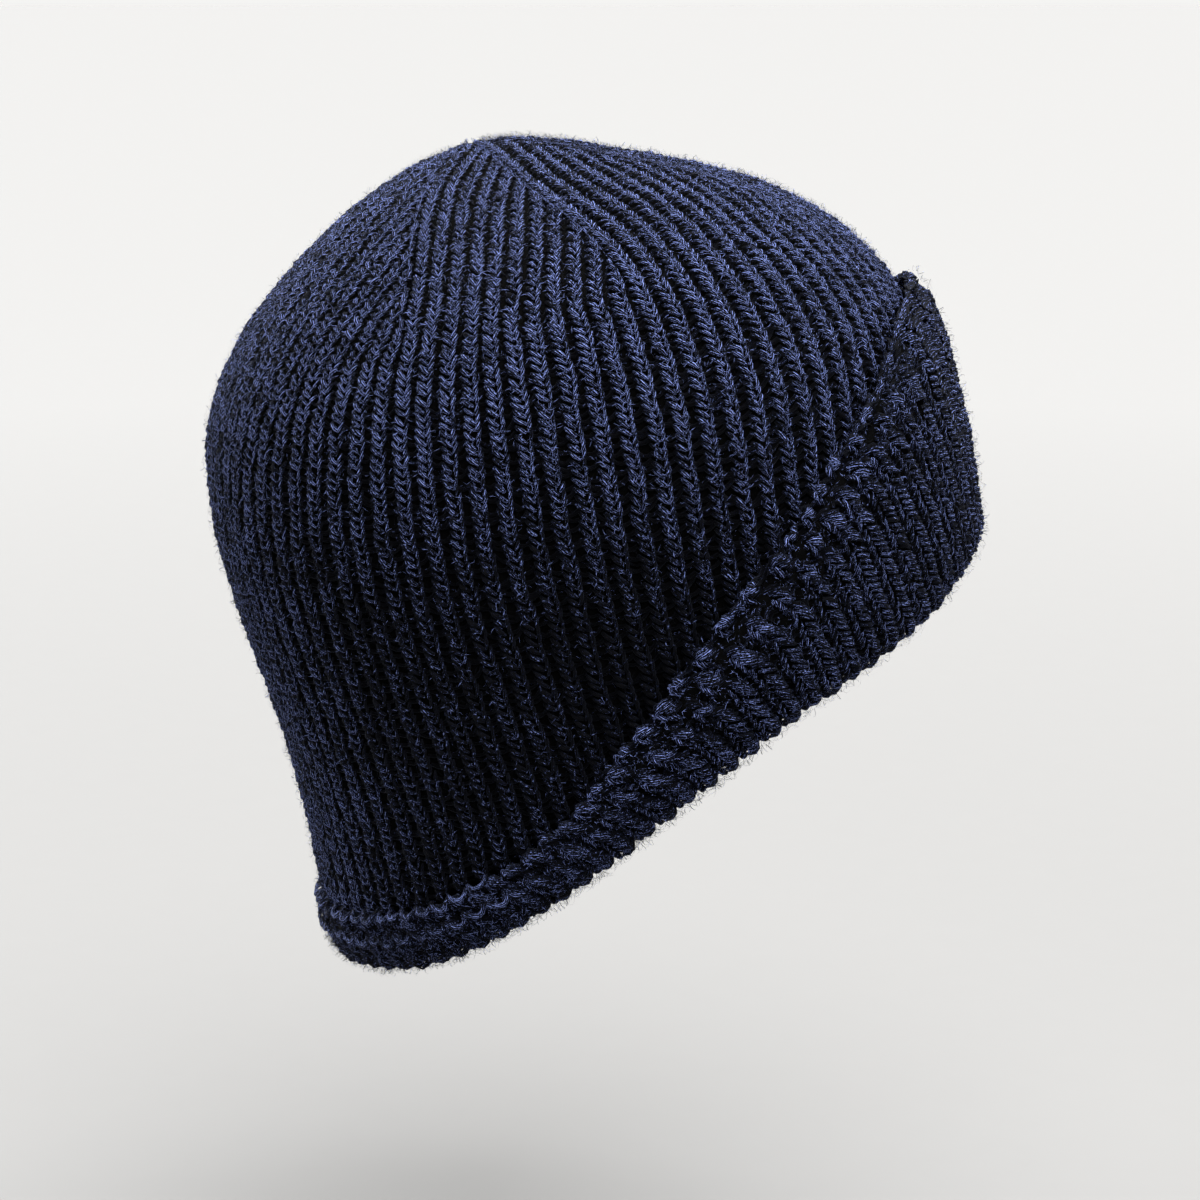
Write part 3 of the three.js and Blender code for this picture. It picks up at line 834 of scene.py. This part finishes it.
def curl_of(rib, past):
    """Shift, rise, tone and gathering of the ribs of the band, which curl near the free edge."""
    angle = fold_angle(rib)
    back = np.sin(angle + math.radians(BAND_TURN))
    width = band_at(angle).width
    room = curl_length(width)
    near = np.clip(1 + past / room, 0, 1)
    risen = np.clip(width + past, 0, None)
    wide = smoothstep(width, NARROW, WIDE)
    shift = back * wide * (CURL_SHIFT * near**2 * room / CURL - STEEPEN * risen)

    # Lumps, each rib's out of step with the next one's, and weaker at the front.
    phase = 2 * np.pi * past / LUMP
    phase = phase + 1.2 * np.sin(rib * 2.399) + 0.5 * np.sin(rib * 5.1 + past * 0.3)
    swirl = smoothstep(near, 0.0, 0.45) * (room / CURL) ** 0.5
    swirl = swirl * (0.35 + 0.65 * smoothstep(np.abs(back), 0.15, 0.55))
    raised = swirl * (LUMP_RISE * np.cos(phase) - 0.4) * (1 - 0.6 * smoothstep(past, -3, 1))
    shift = shift + swirl * wide * ZIGZAG * np.sin(phase)

    sink = EDGE_SINK * (1 + smoothstep(width, PURL_WIDTH, PURL_WIDTH + 15))
    raised = raised - wide * sink * smoothstep(past, -9, -1)
    rim = smoothstep(past, -3.5, -1) * (1 - smoothstep(past, 0.5, 3))
    # Painted highlight on the lump tops and the rolled free edge, and painted shade in the pits.
    lit = 1 + swirl * LUMP_LIGHT * np.cos(phase) + RIM_LIGHT * wide * rim
    return shift, raised, BAND_LIT * lit * (0.8 + 0.2 * wide), swirl


def band_knit():
    """The stitches of the turned-up face, round the fold, up the band and over its free edge."""
    ribs = np.arange(RIBS) + 0.5
    angle = fold_angle(ribs)
    curl_start = -curl_length(band_at(angle).width)
    plain = rows_between(ribs, 1 - turned_length(angle), curl_start, BAND_ROW)
    curled = rows_between(ribs, curl_start, np.full(RIBS, CURL_END), CURL_ROW)
    rib, past = (np.concatenate(pair) for pair in zip(plain, curled))
    strands = Strands()
    for leg in ("band_left", "band_right"):
        add_leg(strands, TURNED, rib, past, LEGS[leg], BAND_ROW, curl_of)
    add_bars(strands, TURNED, rib, past, BAND_ROW, BAND_BARS_LIGHT, curl_of)
    return strands.piece("band_knit_face")


def sunk_curl(rib, past):
    """The same curl for the purl columns, which lie deeper, with painted shade."""
    shift, raised, lit, swirl = curl_of(rib, past)
    deeper = 1 - smoothstep(band_at(fold_angle(rib)).width, PURL_WIDTH, PURL_WIDTH + 12)
    return shift, raised - PURL_SINK * (1 + deeper), lit * PURL_LIGHT, swirl


def band_purl():
    """The purl columns between the ribs, which the gathered free edge brings to the front."""
    ribs = np.arange(RIBS) + 0.0
    ribs = ribs[band_at(fold_angle(ribs)).width > PURL_WIDTH]
    start = -curl_length(band_at(fold_angle(ribs)).width) * 0.8
    rib, past = rows_between(ribs, start, np.full(len(ribs), CURL_END), CURL_ROW)
    strands = Strands()
    for leg in ("band_left", "band_right"):
        add_leg(strands, TURNED, rib, past, LEGS[leg], BAND_ROW, sunk_curl)
    return strands.piece("band_purl")


ARC_START = 112.0  # angle from the front at which the cast-on loops begin to show
ARC_RADIUS = 0.72
# Two rows of loops: how far past the free edge, how far they sag and how light they are.
ARC_ROWS = [(2.6, 2.9, 1.10), (-4.4, 2.6, 1.05)]


def nape_arcs():
    """The cast-on loops: arcs along the free edge round the nape, and a row below it."""
    ribs = np.arange(RIBS) + 0.0
    rib = ribs[np.abs(from_front(fold_angle(ribs))) > ARC_START]
    count = len(rib)
    strands = Strands()
    t = np.linspace(-1, 1, 7)
    arch = np.cos(np.pi * t / 2)
    for level, sag, light in ARC_ROWS:
        along = level - sag * arch**0.8 + jitter(0.35, count)
        across = 0.52 * t + jitter(0.05, count)
        stand = 0.45 + 0.55 * arch + jitter(0.15, count)
        places = TURNED.place(rib[:, None], across, along, stand)
        radius = ARC_RADIUS + jitter(0.07, count)
        # painted shade where each arc sinks at its ends
        tone = light * (1 + jitter(0.25, count)) * (0.3 + 0.7 * arch)
        strands.add(*places, radius, radius, tone)
    return strands.piece("nape_loops")


# ---- Ground ----
GROUND_PER_RIB = 4  # columns of its mesh
GROUND_CREST = 1.5  # how far the ground lies under the crests of the stitches
BAND_CREST = 2.2  # the same in the band
GROUND_GROOVE = 3.0  # and in the grooves
GROUND_PLAIN = 0.6  # how much deeper it lies in the crown, where it isn't ribbed
GROUND_RIBBED = 12.0  # rib length below the last decrease over which its ribs come in
GROUND_INNER = 3.7  # depth of its inner face
GROUND_EDGE = 0.75  # depth of the outer face at the free edge, by the wall
EDGE_EASE = 8.0  # length before the free edge over which it gets there


def ground_columns(crest):
    """Angle of each column of the ground, and its depth where the ground is ribbed."""
    ribs = np.arange(RIBS * GROUND_PER_RIB) / GROUND_PER_RIB
    relief = (1 - np.cos(2 * np.pi * ribs)) / 2
    return fold_angle(ribs), GROUND_GROOVE + (crest - GROUND_GROOVE) * relief


def ground_piece(name, rows):
    """Closed shell of rings of points, the last of which joins the first."""
    points = np.concatenate(rows)
    upper = np.arange(len(points)).reshape(len(rows), -1)
    lower = np.roll(upper, -1, 0)
    corners = [upper, lower, np.roll(lower, -1, 1), np.roll(upper, -1, 1)]
    quads = np.stack(corners, -1).reshape(-1, 4)
    return make_mesh(name, points, quads, points[:, :2], np.ones(len(points)), GROUND)


def body_ground():
    """Closed shell that backs the stitches of the crown and sides."""
    angle, ribbed_depth = ground_columns(GROUND_CREST)
    plain_depth = GROUND_CREST + GROUND_PLAIN
    reach = band_at(angle).fold - JOINT_GAP
    shares = np.concatenate([np.linspace(0.004, 0.3, 12)[:-1], np.linspace(0.3, 1, 31)])

    def row(share, depth):
        length = share * reach
        thin = pressed_body(angle, length)[1] / WALL
        stand = -(depth(length) * thin)[:, None]
        return outer_point(angle, length) + body_normal(angle, length) * stand

    def outer_depth(length):
        ribbed = smoothstep(length, DECREASE_LENGTH, DECREASE_LENGTH + GROUND_RIBBED)
        return plain_depth + (ribbed_depth - plain_depth) * ribbed

    rows = [row(share, outer_depth) for share in shares]
    rows += [row(share, lambda length: GROUND_INNER) for share in shares[::-2]]
    return ground_piece("cap_ground", rows)


def band_ground():
    """Closed shell that backs the stitches of the turn-up."""
    angle, ribbed_depth = ground_columns(BAND_CREST)
    band = band_at(angle)
    sunk = ribbed_depth * band.wall / WALL
    edge_sunk = band.wall * GROUND_EDGE
    inner = GROUND_INNER / WALL
    sweeps = [np.full(len(angle), sweep) for sweep in np.linspace(0, np.pi, 9)]
    shares = np.linspace(0.1, 1, 10)
    rows = [bend_point(angle, sweep, 0.0, sunk) for sweep in sweeps]
    for share in shares:
        along = band.width * share
        near = smoothstep(along, band.width - EDGE_EASE, band.width)
        rows.append(band_point(angle, along - near, 0.0, sunk + (edge_sunk - sunk) * near))
    rows += [band_point(angle, band.width * share - 1, inner) for share in shares[::-2]]
    rows += [bend_point(angle, sweep, inner) for sweep in sweeps[::-2]]
    return ground_piece("band_ground", rows)


# ---- Loose fibres ----
CAP_HAIRS = 27000
BAND_HAIRS = 13000
HAIR_WIDTH = 0.065  # half the width of a stray fibre
HAIR_LIGHT = 1.1  # how much lighter it is than the yarn
HAIRLESS = 4.0  # rib length round the pole without fibres


def fuzz(name, knit, rib, along, length, height, lying, lit):
    """Stray fibres: thin ribbons that leave the yarn, arch over and end free.

    length is the shortest and longest, height the most that one stands up; with lying fewer do.
    """
    count = len(rib)
    t = np.linspace(0, 1, 4)
    heading = rng.uniform(0, 2 * np.pi, (count, 1)) + jitter(1.2, count) * t
    reach = rng.uniform(*length, (count, 1)) * t
    top = rng.uniform(0, 1, (count, 1)) ** lying * height
    stand = 0.15 + top * np.sin(np.pi * t * rng.uniform(0.4, 1.0, (count, 1)))
    across = np.cos(heading) * reach / knit.pitch(rib, along)[:, None]
    along = along[:, None] + np.sin(heading) * reach
    places = knit.place(rib[:, None], across, along, stand)
    width = HAIR_WIDTH * (1 - 0.6 * t)
    tone = HAIR_LIGHT * np.broadcast_to(lit, count)[:, None] * np.exp(jitter(0.6, count))
    strands = Strands()
    strands.add(*places, width, width, tone, sides=2, opening=180, edge=1.0)
    return strands.piece(name)


def cap_fibres():
    """Fibres over the crown and sides, most of them near the top."""
    ribs = rng.uniform(0, RIBS, CAP_HAIRS)
    band = band_at(fold_angle(ribs))
    share = rng.uniform(0, 1, len(ribs)) ** 0.8
    along = HAIRLESS + (band.fold - band.width - HAIRLESS) * share
    rib = np.floor(ribs) + 0.5
    return fuzz("cap_fuzz", OUTER, rib, along, (1.5, 5.0), 1.7, 2.5, painted_shading(rib, along))


def band_fibres():
    """Fibres over the turned-up face, from the fold to its free edge."""
    ribs = rng.uniform(0, RIBS, BAND_HAIRS)
    past = -turned_length(fold_angle(ribs)) * rng.uniform(0, 1, len(ribs))
    return fuzz("band_fuzz", TURNED, ribs, past, (1.5, 4.5), 2.2, 1.6, BAND_LIT)


cap_pieces = body_knit()
lining = lining_knit()
band_piece = band_knit()
purl = band_purl()
loops = nape_arcs()
cap_ground = body_ground()
turned_ground = band_ground()
cap_fuzz = cap_fibres()
band_fuzz = band_fibres()

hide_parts("cap_body")
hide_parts("turn_up")

# ---- Setting ----
FLOOR_DROP = 0.12  # the hat is held this far above the floor
FLOOR_REACH = 300.0  # half the side of the floor, which ends out of sight
FLOOR_NEAR = (0.172, 0.171, 0.168, 1)
FLOOR_FAR = (0.202, 0.201, 0.198, 1)
FAR_FROM = (0.4, 2.2)  # distances between which the floor grows lighter
TARGET = (np.array([0.0, 0.0, -130.0]) - HEAD_SEAT) / 1000
CAMERA_FROM = (-87.0, 11.0)  # azimuth and elevation
CAMERA_DISTANCE = 0.9
CAMERA_LENS = 92.34
CAMERA_CLIP = (0.01, 1000.0)
# Soft light from high up: azimuth, elevation, strength and spread in degrees.
SUNS = {
    "high_window": (30, 68, 5.6, 50),
    "nape_window": (150, 40, 4.4, 80),
    "front_fill": (-70, 60, 5.6, 50),
}
BACKDROP = (0.905, 0.901, 0.886, 1)
ROOM = (0.03, 0.03, 0.03, 1)


def pale_floor():
    """A pale floor that grows a little lighter with distance, to meet the backdrop."""
    mesh = bpy.data.meshes.new("floor")
    corners = [(-1, -1), (1, -1), (1, 1), (-1, 1)]
    height = CAD_BOX[0][2] - FLOOR_DROP
    points = [(x * FLOOR_REACH, y * FLOOR_REACH, height) for x, y in corners]
    mesh.from_pydata(points, [], [(0, 1, 2, 3)])
    material, tree, shader = new_material("pale_floor", 0.95, 0.0)
    place = node(tree, "ShaderNodeTexCoord", {}).outputs["Object"]
    away = node(tree, "ShaderNodeVectorMath", {"operation": "LENGTH"}, i0=place).outputs["Value"]
    grain = product(tree, noise(tree, place, 60.0, 3.0, 0.5), 0.1)
    factor = calc(tree, "ADD", stretch(tree, away, *FAR_FROM, 0.0, 0.9), grain)
    colour = ramp(tree, factor, [(0.0, FLOOR_NEAR), (1.0, FLOOR_FAR)])
    tree.links.new(colour, shader.inputs["Base Color"])
    mesh.materials.append(material)
    add_object("floor", mesh)


def direction(azimuth, elevation):
    """Unit vector towards a place in degrees round from the front and up."""
    a, e = math.radians(azimuth), math.radians(elevation)
    return np.array([math.sin(a) * math.cos(e), -math.cos(a) * math.cos(e), math.sin(e)])


def aim(thing, towards):
    """Turns an object's -Z along a direction."""
    thing.rotation_euler = Vector(towards.tolist()).to_track_quat("-Z", "Y").to_euler()


def add_camera():
    data = bpy.data.cameras.new("camera")
    data.lens = CAMERA_LENS
    data.sensor_width = 36
    data.sensor_fit = "HORIZONTAL"
    data.clip_start, data.clip_end = CAMERA_CLIP
    camera = add_object("camera", data)
    towards = direction(*CAMERA_FROM)
    camera.location = TARGET + towards * CAMERA_DISTANCE
    aim(camera, -towards)
    bpy.context.scene.camera = camera


def add_suns():
    for name, (azimuth, elevation, strength, spread) in SUNS.items():
        data = bpy.data.lights.new(name, "SUN")
        data.energy = strength
        data.angle = math.radians(spread)
        aim(add_object(name, data), -direction(azimuth, elevation))


def studio_world():
    """A dim room whose wall at +X, and whole low horizon, is a pale backdrop."""
    world = bpy.data.worlds.new("studio")
    world.use_nodes = True
    sky = world.node_tree
    toward = node(sky, "ShaderNodeTexCoord", {}).outputs["Generated"]
    parts = node(sky, "ShaderNodeSeparateXYZ", {}, i0=toward).outputs
    wall = stretch(sky, parts[0], -0.15, 0.55)
    horizon = stretch(sky, parts[2], 0.08, 0.22, 1.0, 0.0)
    shade = ramp(sky, calc(sky, "MAXIMUM", wall, horizon), [(0.0, ROOM), (1.0, BACKDROP)])
    sky.links.new(shade, sky.nodes["Background"].inputs["Color"])
    bpy.context.scene.world = world


pale_floor()
add_camera()
add_suns()
studio_world()
bpy.context.scene.view_settings.view_transform = "Standard"
